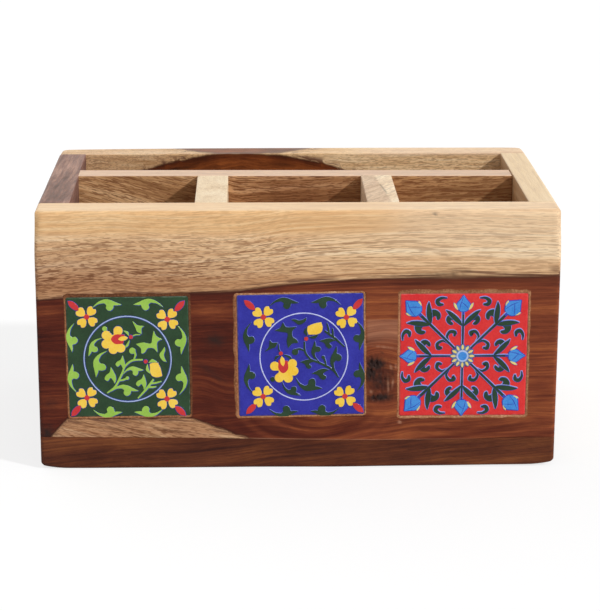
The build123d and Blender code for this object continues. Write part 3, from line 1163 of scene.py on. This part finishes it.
def paint_corner(painting, flower, drop):
    """A four-petalled flower in a corner, with a red drop beyond it."""
    for k in range(4):
        way = cmath.rect(1, math.radians(51 + 90 * k))
        painting.outlined(heart_petal(flower + 0.8 * way, flower + 4.65 * way), "yellow", 0.24)
    painting.outlined(disc(flower, 1.08, 14), "red", 0.28)
    out = (drop - flower) / abs(drop - flower)
    painting.outlined(spindle(drop - 3.0 * out, drop + 3.0 * out, 2.1), "red", 0.2)


def paint_border_leaves(painting, colour, line, shifts):
    """Two leaves on the top, left, bottom and right of the tile, tips towards the side's middle."""
    for quarter, shift in enumerate(shifts):
        painting.turn = 1j ** quarter
        painting.shift = shift
        for start, tip, side in ((-14.6 + 20.2j, -2.6 + 21.4j, 1), (14.4 + 20.2j, 2.4 + 21.4j, -1)):
            painting.outlined(leaf(start, tip, side), colour, 0.2, line)
    painting.turn = 1
    painting.shift = 0


# Leaves of the medallion: start, tip, side, fatness
MEDALLION_LEAVES = (
    (-10.5 + 8.1j, -16.4 + 0.6j, -1, 1.05),
    (-8.7 + 2.7j, -13.6 - 8.2j, -1, 1.22),
    (-2.6 - 7.3j, 6 - 5.5j, 1, 1.15),
    (-8 - 14.6j, 3.7 - 14.3j, 1, 1),
)
SMALL_LEAVES = ((-6 - 11.0j, -7.4 - 4.1j), (-2.4 - 5.2j, -2.5 + 0.6j), (6 - 13.8j, 6 - 7.4j))
# Leaves drawn spot by spot, each with its sharp tips
DRAWN_LEAVES = (
    ((10.6 + 10.8j, 11.6 + 8.6j, 13.8 + 7.3j, 11.9 + 6.0j, 11.9 + 1.9j, 10.3 + 3.6j, 8 + 3.6j,
      6.6 + 1.9j, 5.4 + 1.6j, 5.2 + 3.6j, 3.35 + 5.4j, 6.2 + 5.9j, 9.3 + 5.5j, 10 + 8.0j), (0, 2, 4, 10)),
    ((2.1 + 14.9j, 3.4 + 11.8j, 3.9 + 10.6j, 5.6 + 9.6j, 5.6 + 11.8j, 6.6 + 12.8j, 4 + 13.2j), (0, 3, 5)),
    ((14.9 + 4.0j, 15 + 2.5j, 14.5 + 1.0j, 14.7 - 0.5j, 15.5 - 2.2j, 14.1 - 1.7j, 13 - 0.1j,
      12.9 + 1.2j, 13.9 + 2.5j), (0, 4)),
)
# Stems: spots, widths
MEDALLION_STEMS = (
    ((-9.2 - 15.0j, -5.8 - 12.3j, -2.9 - 7.0j, -1.6 - 3.9j, 1.45 - 1.5j, 5.8 - 1.2j),
     (0.4, 0.7, 0.7, 0.6, 0.7, 0.5)),
    ((3.4 - 17.4j, 7.1 - 13.4j, 10 - 9.5j), (0.4, 0.9, 0.6)),
    ((9 - 11.2j, 11 - 11.0j, 13.2 - 10.4j), (0.7, 0.6, 0.3)),
    ((7.6 - 12.8j, 9.6 - 12.8j, 11 - 12.6j), (0.7, 0.6, 0.3)),
    ((-4.4 - 9.9j, -2.6 - 9.6j, -1 - 9.0j), (0.5, 0.6, 0.7)),
    ((2.1 - 1.2j, 2.85 + 0.9j, 2.2 + 2.8j), (0.4, 0.7, 1)),
    ((1.3 + 8.4j, 3 + 9.2j, 5 + 9.3j), (0.25, 0.35, 0.2)),
)
# Round ends of twigs: centre, radius
MEDALLION_KNOBS = ((1.65 + 2.6j, 1.25), (-0.75 - 8.8j, 0.65), (-9.4 + 11.9j, 0.95))
FLOWER_LOBES = (71, 150, 204, 258, 303)
FLOWER_HEART = (-1.4 + 9.3j, -5 + 9.5j, -6.9 + 7.6j, -5.2 + 5.6j, -2 + 5.7j)
BUD = (8.7 - 3.0j, 10.3 - 2.5j, 12 - 2.65j, 13 - 5.1j, 13.6 - 8.1j, 11.5 - 8.6j, 9.6 - 8.0j, 8.8 - 6.4j,
       8.75 - 4.7j)
MEDALLION_CENTRE = -0.4 - 0.9j
MEDALLION_RADIUS = 17.8


def paint_medallion(painting, colour, line):
    """Flowering branches: one open flower, one bud, stems and leaves."""
    def leafy(loop, height=0.2):
        painting.outlined(loop, colour, height, line)

    for start, tip, side, fat in MEDALLION_LEAVES:
        leafy(leaf(start, tip, side, fat))
    for start, tip in SMALL_LEAVES:
        leafy(small_leaf(start, tip, -1))
    for outline, tips in DRAWN_LEAVES:
        leafy(curve(outline, sharp=tips))
    for spots, widths in MEDALLION_STEMS:
        leafy(stroke(spots, widths), 0.16)
    for centre, radius in MEDALLION_KNOBS:
        leafy(disc(centre, radius), 0.18)
    painting.outlined(lobed(-5.3 + 7.2j, 2.3, FLOWER_LOBES, 4, 1.85), "yellow", 0.26)
    painting.outlined(curve(FLOWER_HEART, sharp=(0, 4)), "red", 0.3)
    painting.outlined(spindle(-4.1 + 7.5j, 8.1j, 1.6), "yellow", 0.34)
    leafy(crescent(-1.8 + 11.0j, 0.4 + 8.8j, 0.9))
    leafy(crescent(0.6 + 7.2j, -2 + 3.6j, 0.9))
    painting.outlined(disc(1.2 + 8.4j, 0.78, 12), "red", 0.3)
    painting.outlined(curve(BUD, sharp=(0, 2, 4)), "yellow", 0.26)
    leafy(crescent(11.7 - 2.3j, 8.1 - 2.5j, -1.3), 0.3)
    leafy(crescent(7.7 - 3.0j, 8.8 - 7.1j, -1.2), 0.3)
    painting.outlined(disc(7 - 1.95j, 0.78, 12), "red", 0.32)


# Ring round a medallion: width of its dark line, then width and colour of its pale line
Ring = namedtuple("Ring", "dark pale colour")


def paint_flower_tile(tile, leaf_colour, line, ring, centre, quarter, shifts, flowers, drops, tall=1.0):
    """A ringed medallion of branches, corner flowers and border leaves."""
    painting = Painting(tile, tall)
    paint_border_leaves(painting, leaf_colour, line, shifts)
    for flower, drop in zip(flowers, drops):
        paint_corner(painting, flower, drop)
    painting.hoop(centre, MEDALLION_RADIUS, ring.dark, "cobalt", 0.12)
    painting.hoop(centre, MEDALLION_RADIUS + 0.05, ring.pale, ring.colour, 0.2)
    painting.turn = 1j ** quarter
    painting.shift = centre - painting.turn * MEDALLION_CENTRE
    paint_medallion(painting, leaf_colour, line)
    painting.finish()


# Leaves of the star tile: a curling lobe, and a straight blade over it
AXIAL_LOBE = (0.42, 0.7 - 0.02j, 0.76 - 0.14j, 0.7 - 0.27j, 0.56 - 0.33j, 0.42 - 0.3j, 0.38 - 0.22j,
              0.45 - 0.2j, 0.53 - 0.2j, 0.56 - 0.14j, 0.47 - 0.06j)
DIAGONAL_LOBE = (0.28, 0.58 - 0.02j, 0.64 - 0.16j, 0.58 - 0.32j, 0.44 - 0.42j, 0.27 - 0.41j, 0.2 - 0.32j,
                 0.27 - 0.28j, 0.36 - 0.27j, 0.38 - 0.18j, 0.31 - 0.08j)
BLADE_BACK = (0, 0.25 + 0.1j, 0.5 + 0.125j, 0.8 + 0.09j, 1)
AXIAL_BLADE = BLADE_BACK + (0.88 - 0.02j, 0.7 - 0.055j, 0.5 - 0.06j, 0.25 - 0.04j)
DIAGONAL_BLADE = BLADE_BACK + (0.84 - 0.03j, 0.62 - 0.07j, 0.4 - 0.08j, 0.2 - 0.06j)

# Lotus buds along their stems: half outline from base to tip, sepal, petal edges
AXIAL_BUD = (0, 0.05 - 0.2j, 0.26 - 0.38j, 0.5 - 0.37j, 0.76 - 0.16j, 1)
AXIAL_SEPAL = (0.1 + 0.34j, 0.54 + 0.6j)
AXIAL_FOLDS = ((0.08 + 0.24j, 0.45 + 0.17j, 0.92), (0.2 - 0.3j, 0.42 - 0.1j, 0.6 + 0.12j))
DIAGONAL_BUD = (0, 0.07 - 0.22j, 0.3 - 0.38j, 0.55 - 0.37j, 0.79 - 0.17j, 1)
DIAGONAL_SEPAL = (0.2 + 0.32j, 0.54 + 0.47j)
DIAGONAL_FOLDS = ((0.1 + 0.24j, 0.48 + 0.18j, 0.92), (0.22 - 0.3j, 0.44 - 0.1j, 0.64 + 0.12j))

# Curls along the arms of the star
DIAGONAL_HOOK = (7.8 + 0.2j, 10.3 + 1.2j, 10.9 + 3.6j, 9.3 + 4.7j, 8.4 + 3.5j)
AXIAL_COMMA = (24.4 - 6.7j, 24.4 - 8.9j, 23.2 - 10.5j, 21.8 - 9.9j, 21.7 - 8.2j)
STAR_SHIFT = -0.4 - 0.4j
ROSETTE_PETALS = 12


def paint_lotus(painting, base, tip, half, sepal, folds):
    """A lotus bud of the given half outline, with two small sepals and drawn petal edges."""
    for side in (-1, 1):
        start, end = fit(sepal, base, tip, side)
        painting.outlined(spindle(start, end, 0.85), "cream", 0.2, SEPAL_LINE)
    outline = curve(fit(mirrored(half), base, tip), sharp=(0, len(half) - 1))
    painting.outlined(outline, "sky", 0.3, BUD_LINE)
    for fold in folds:
        painting.add(stroke(fit(fold, base, tip), (0.12, 0.28, 0.1)), "royal", 0.34)


def paint_star_tile(tile):
    """Eight stems with lotus buds, leaves and curls, round a small rosette."""
    painting = Painting(tile)
    painting.shift = STAR_SHIFT

    def dark(loop, under=0.0):
        painting.shadow(loop, "mist", under + 0.04, 0.3, -0.08 + 0.14j)
        painting.shadow(loop, "royal", under + 0.08, 0.14, 0)
        painting.add(loop, "dark_leaf", under + 0.14)

    def leaves(lobe, blade, start, tip, side):
        dark(curve(fit(lobe, start, tip, side), steps=5))
        dark(curve(fit(blade, start, tip, side), sharp=(0, 4), steps=5), 0.1)

    def along(way, *distances):
        return [distance * way for distance in distances]

    axis = 1j
    diagonal = cmath.rect(1, math.radians(135))
    for quarter in range(4):
        painting.turn = 1j ** quarter
        for side in (-1, 1):
            leaves(AXIAL_LOBE, AXIAL_BLADE, 12.4 * axis, complex(7.0 * side, 19.3), side)
            tip = diagonal * complex(26.0, 6.3 * side)
            leaves(DIAGONAL_LOBE, DIAGONAL_BLADE, 18.6 * diagonal, tip, -side)
            dark(stroke(fit(DIAGONAL_HOOK, 0, diagonal, side), (0.4, 0.6, 1.0, 1.3, 0.5)))
            dark(stroke(fit(AXIAL_COMMA, 0, axis, side), (0.2, 0.8, 1.4, 1.4, 0.5)))
        dark(stroke(along(axis, 4.4, 11, 19.2), (0.45, 0.55, 0.6)), 0.14)
        painting.add(stroke(along(axis, 17.5, 18.4, 19.2), (0.6, 0.8, 1.2)), "royal", 0.3)
        paint_lotus(painting, 18.8 * axis, 25.4 * axis, AXIAL_BUD, AXIAL_SEPAL, AXIAL_FOLDS)
        dark(stroke(along(diagonal, 4.6, 14, 25.6), (0.55, 0.75, 1.0)), 0.14)
        painting.add(stroke(along(diagonal, 24.0, 24.9, 25.7), (0.8, 1.0, 1.4)), "royal", 0.3)
        base, top = along(diagonal, 25.2, 32.9)
        paint_lotus(painting, base, top, DIAGONAL_BUD, DIAGONAL_SEPAL, DIAGONAL_FOLDS)
    painting.turn = 1
    angles = [360 * k / ROSETTE_PETALS for k in range(ROSETTE_PETALS)]
    painting.outlined(lobed(0, 4.1, angles, 4.2, 0.7, 180), "slate", 0.3)
    for angle in angles:
        way = cmath.rect(1, math.radians(angle))
        painting.outlined(spindle(2.6 * way, 4.9 * way, 0.8), "cream", 0.36)
    painting.outlined(disc(0, 2.45, 32), "pale_blue", 0.4)
    painting.outlined(disc(0, 1.8, 28), "sky", 0.44)
    painting.finish()


# Putty rims: width and paleness on the left, top, right and bottom of each tile
PUTTY_RIMS = {
    "green": ((0.6, 0.35), (1.3, 0.0), (0.8, 0.1), (0.55, 0.5)),
    "blue": ((1.5, 0.5), (0.7, 0.95), (0.7, 0.8), (0.5, 0.6)),
    "red": ((0.85, 0.65), (1.6, 0.55), (0.85, 0.7), (0.85, 0.8)),
}
PUTTY_LEAST = 0.55
PUTTY_DEPTH = 2.0
PUTTY_FLUSH = TILE_SETBACK + 0.03
# Section of a rim: shift from the tile's edge, share of the width, height, and share of the way outwards
PUTTY_SECTION = (
    (-0.1, 0.0, -PUTTY_DEPTH, 0.0),
    (-0.06, 0.0, 0.0, 0.0),
    (0.1, 0.1, 0.8 * PUTTY_FLUSH, 0.2),
    (0.0, 0.6, PUTTY_FLUSH, 0.55),
    (0.0, 0.95, PUTTY_FLUSH, 1.0),
    (0.0, 1.0, TILE_SETBACK - 0.04, 1.0),
    (0.0, 0.98, -PUTTY_DEPTH, 1.0),
)


def smeared_putty():
    """Brown or beige putty smeared by hand, grainy, and darker at its outer edge."""
    g = Graph(bpy.data.materials.new("smeared_putty"))
    place = g.millimetres()
    outward, pale, _ = g.split(g.attribute("rim"))
    grit = g.noise(place, (1.2, 1.2, 1.2), 4.0, 0.65)
    broad = g.noise(place, (0.12, 0.12, 0.12))
    shade = g.blend((grit, 0.5), (broad, 0.25), (outward, -0.1), (pale, 0.3))
    browns = ((92, 54, 32), (136, 86, 54), (184, 130, 92), (218, 178, 142))
    colour = g.ramp(shade, *zip((0.3, 0.44, 0.6, 0.72), browns))
    g.bump(grit, 0.15, 0.6)
    return g.finish(base_color=colour, roughness=0.75, specular_ior_level=0.2)


def putty_path(tile):
    """Spots round the tile's edge, each with its outward way, longer at the square corners."""
    half = tile.size / 2
    arm = half - TILE_CORNER
    path = []
    for side in range(4):
        along = 1j ** (side + 1)
        out = 1j ** side
        for i in range(64):
            path.append((half * out + along * arm * (i / 32 - 1), out))
        for i in range(5):
            way = out * cmath.rect(1, math.pi / 2 * i / 5)
            square = way / max(abs(way.real), abs(way.imag))
            path.append((arm * (out + along) + TILE_CORNER * way, square))
    return path


def make_putty(tile, material):
    """A rim swept round the tile: it laps the tile's edge, the gap and a little of the plank."""
    left, top, right, bottom = PUTTY_RIMS[tile.name]
    rings = []
    values = []
    for spot, way in putty_path(tile):
        sideways, upright = abs(way.real), abs(way.imag)
        beside = right if way.real > 0 else left
        over = top if way.imag > 0 else bottom
        width, pale = ((sideways * a + upright * b) / (sideways + upright) for a, b in zip(beside, over))
        jag = noise_at(spot.real * 0.22, spot.imag * 0.22, tile.size)
        fine = noise_at(spot.real * 0.9, spot.imag * 0.9, tile.size)
        width = max(PUTTY_LEAST, width * (1 + 0.35 * jag) + 0.12 * fine)
        ring = []
        for shift, share, out, outward in PUTTY_SECTION:
            ring.append(tile.place(spot + way * (shift + share * width), out + 0.03 * fine * share))
            values += [outward, pale, 0.0]
        rings.append(ring)
    points = []
    faces = skin(points, rings, looped=True)
    piece = make_mesh(f"{tile.name}_putty_rim", points, faces, [material])
    set_field(piece, "rim", values)
    dress(piece, "tile_putty", f"{tile.name}_tile_putty")


putty = smeared_putty()
for tile in TILES:
    make_tile(tile)
    make_putty(tile, putty)
green_tile, blue_tile, red_tile = TILES
paint_flower_tile(green_tile, "leaf_green", GREEN_TILE_LINE, Ring(0.8, 0.4, "pale_blue"),
                  centre=MEDALLION_CENTRE, quarter=0,
                  shifts=(0.3 + 0.4j, -1.6, -0.9 - 1.8j, 0.2 - 1.7j),
                  flowers=(-16.6 + 16.9j, 16.3 + 15.5j, -17.6 - 16.9j, 15.4 - 17.8j),
                  drops=(-21.8 + 21.6j, 21.4 + 20.9j, -22.3 - 22.4j, 20.8 - 23.0j))
paint_flower_tile(blue_tile, "dark_leaf", BLUE_TILE_LINE, Ring(0.6, 0.45, "pale_violet"),
                  centre=1.15 - 0.72j, quarter=1,
                  shifts=(2.0 - 0.1j, 0.3 - 0.6j, 0.9 - 1.8j, 2.4 - 1.0j),
                  flowers=(-15.0 + 15.8j, 18.6 + 15.1j, -15.7 - 16.75j, 17.7 - 17.35j),
                  drops=(-20.45 + 20.8j, 23.2 + 20.3j, -20.65 - 21.75j, 23.1 - 22.2j), tall=1.03)
paint_star_tile(red_tile)

# Stage, light and camera. The floor bounces one grey, and shows another with a glow
WHITE = (1, 1, 1, 1)
FLOOR_HALF = 6.0
FLOOR_BOUNCE = (0.6, 0.6, 0.6, 1)
FLOOR_SEEN = (0.26, 0.26, 0.26, 1)
FLOOR_GLOW = 0.755
SURROUND_LIGHT = 0.5


def make_floor():
    """A white floor that shows a soft shadow, and bounces less light than it shows."""
    g = Graph(bpy.data.materials.new("studio_floor"))
    seen = g.seen()
    grey = g.mix(seen, FLOOR_BOUNCE, FLOOR_SEEN)
    g.finish(base_color=grey, roughness=1.0, specular_ior_level=0.0, emission_color=WHITE,
             emission_strength=g.times(seen, FLOOR_GLOW))
    corners = [(x, y, 0) for x, y in ((-1, -1), (1, -1), (1, 1), (-1, 1))]
    floor = make_mesh("studio_floor", corners, [(0, 1, 2, 3)], [g.owner])
    floor.scale = (FLOOR_HALF / MM, FLOOR_HALF / MM, 1)


def make_world():
    """A white surround that lights the object softly."""
    world = bpy.data.worlds.new("studio_world")
    bpy.context.scene.world = world
    g = Graph(world, "Background")
    g.finish(color=WHITE, strength=g.span(g.seen(), 0.0, 1.0, SURROUND_LIGHT, 1.0))


def make_sun(name, travel, strength, softness):
    """A lamp shining along travel; strength 1 lights a facing surface to its written colour."""
    lamp = bpy.data.lights.new(name, "SUN")
    lamp.energy = strength * math.pi
    lamp.angle = math.radians(softness)
    sun = bpy.data.objects.new(name, lamp)
    sun.rotation_euler = Vector(travel).to_track_quat("-Z", "Y").to_euler()
    bpy.context.scene.collection.objects.link(sun)


# Camera fitted to the photograph's 600 by 611 frame
FRAME_LONG_SIDE = 611
FOCAL_PIXELS = 2077.6
CAMERA_PLACE = (-18.6, -864.7, 292.7)
CAMERA_PITCH = 15.602
CAMERA_YAW = 1.374
CAMERA_ROLL = -0.123


def make_camera():
    lens = bpy.data.cameras.new("photo_camera")
    lens.sensor_width = 36.0
    lens.lens = FOCAL_PIXELS * lens.sensor_width / FRAME_LONG_SIDE
    camera = bpy.data.objects.new("photo_camera", lens)
    heading = Matrix.Rotation(math.radians(-CAMERA_YAW), 4, "Z")
    tilt = Matrix.Rotation(math.radians(90 - CAMERA_PITCH), 4, "X")
    roll = Matrix.Rotation(math.radians(-CAMERA_ROLL), 4, "Z")
    camera.matrix_world = Matrix.Translation(Vector(CAMERA_PLACE) * MM) @ heading @ tilt @ roll
    bpy.context.scene.collection.objects.link(camera)
    bpy.context.scene.camera = camera


make_floor()
make_world()
make_sun("key_lamp", (-1.0, 0.65, -0.78), 0.75, 4.0)
make_sun("back_lamp", (0.6, -0.7, -0.5), 0.2, 60.0)
make_camera()
bpy.context.scene.view_settings.view_transform = "Standard"
